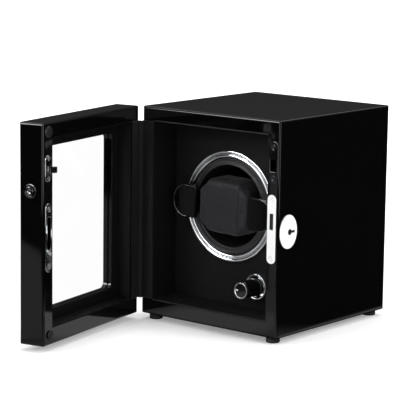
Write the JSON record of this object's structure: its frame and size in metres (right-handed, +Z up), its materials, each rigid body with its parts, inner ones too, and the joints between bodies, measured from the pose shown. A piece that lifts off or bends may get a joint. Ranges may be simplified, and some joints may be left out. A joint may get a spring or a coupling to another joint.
{
  "type": "watch winder box",
  "caption": "Lacquered cabinet with a hinged, lockable glazed door, and a motor-driven turntable whose cushion turns a watch.",
  "frame": {"origin": "on the standing surface, under the middle of the cabinet's footprint", "axes": "+Z up; the open front faces -Y; +X to the right of someone facing the front, with the door hinged on the -X side"},
  "size_m": [0.1652, 0.2927, 0.176],
  "materials": {
    "lacquer": "gloss",
    "leatherette": "satin",
    "cushion": "satin",
    "black_plastic": "satin",
    "satin_plastic": "satin",
    "knob_plastic": "gloss",
    "gear_plastic": "satin",
    "chrome": "polished",
    "dark_chrome": "polished",
    "steel": "satin",
    "brass": "satin",
    "circuit": "satin",
    "glass": "clear",
    "rubber": "matte",
    "white_mark": "satin"
  },
  "bodies": {
    "cabinet": {"cabinet_shell": "lacquer", "rear_panel": "lacquer", "rear_panel_screws": "steel", "liner_left": "leatherette", "liner_right": "leatherette", "liner_top": "leatherette", "liner_floor": "leatherette", "front_panel": "leatherette", "ring_bezel": "chrome", "drive_frame": "black_plastic", "drive_posts": "black_plastic", "drive_frame_screws": "steel", "spindle_bush": "brass", "gearmotor": "steel", "gearmotor_screws": "steel", "control_board": "circuit", "switch_body": "black_plastic", "switch_nut": "steel", "knob_bezel": "chrome", "dc_jack": "black_plastic", "dc_jack_nut": "steel", "lock_case": "steel", "lock_faceplate": "chrome", "lock_screws": "chrome", "lock_escutcheon": "chrome", "keeper_plate": "dark_chrome", "keeper_screws": "dark_chrome", "feet": "rubber", "foot_screws": "steel", "hinge_leaf_body": "brass", "hinge_pin": "steel", "hinge_screws_body": "brass", "hinge_cover": "leatherette"},
    "door": {"door_frame": "lacquer", "door_liner": "leatherette", "window_trim": "lacquer", "window_pane": "glass", "door_bumpers": "rubber", "strike_plate": "chrome", "strike_screws": "chrome", "catch_plate": "chrome", "catch_screws": "chrome", "button_bezel": "chrome", "hinge_leaf_door": "brass", "hinge_screws_door": "brass"},
    "button": {"push_button": "dark_chrome", "catch_hook": "chrome", "button_spring": "steel"},
    "bolt": {"lock_bolt": "chrome"},
    "turntable": {"cup": "black_plastic", "cup_hub": "black_plastic", "spindle": "steel", "main_gear": "gear_plastic", "spindle_collar": "steel"},
    "holder": {"holder_frame": "satin_plastic", "holder_pad": "cushion"},
    "motor_pinion": {"pinion": "gear_plastic", "output_shaft": "steel"},
    "mode_knob": {"knob": "knob_plastic", "knob_ring": "chrome", "knob_pointer": "white_mark", "switch_shaft": "steel"}
  },
  "joints": [
    {"name": "door_hinge", "type": "hinge", "parent": "cabinet", "child": "door", "pos_m": [-0.0708, -0.07475, 0.091], "axis": [0, 0, -1], "range_deg": [-79, 21], "deforming": ["hinge_cover"]},
    {"name": "turntable_spin", "type": "hinge", "parent": "cabinet", "child": "turntable", "pos_m": [0, 0.01, 0.0983], "axis": [0, 1, 0], "continuous": true},
    {"name": "pinion_spin", "type": "hinge", "parent": "cabinet", "child": "motor_pinion", "pos_m": [0, 0.01, 0.0644], "axis": [0, 1, 0], "continuous": true},
    {"name": "holder_pull", "type": "slide", "parent": "turntable", "child": "holder", "axis": [0, -1, 0], "range_m": [0, 0.055]},
    {"name": "knob_turn", "type": "hinge", "parent": "cabinet", "child": "mode_knob", "pos_m": [0.027, -0.055, 0.036], "axis": [0, 1, 0], "range_deg": [0, 180]},
    {"name": "button_press", "type": "slide", "parent": "door", "child": "button", "axis": [-0.1908, 0.9816, 0], "range_m": [0, 0.0016], "stiffness_N_per_m": 400, "springref_m": -0.001, "deforming": ["button_spring"]},
    {"name": "bolt_throw", "type": "slide", "parent": "cabinet", "child": "bolt", "axis": [0, -1, 0], "range_m": [0, 0.008]}
  ],
  "couplings": [
    {"joint": "pinion_spin", "follows": "turntable_spin", "ratio": -2.8571}
  ]
}
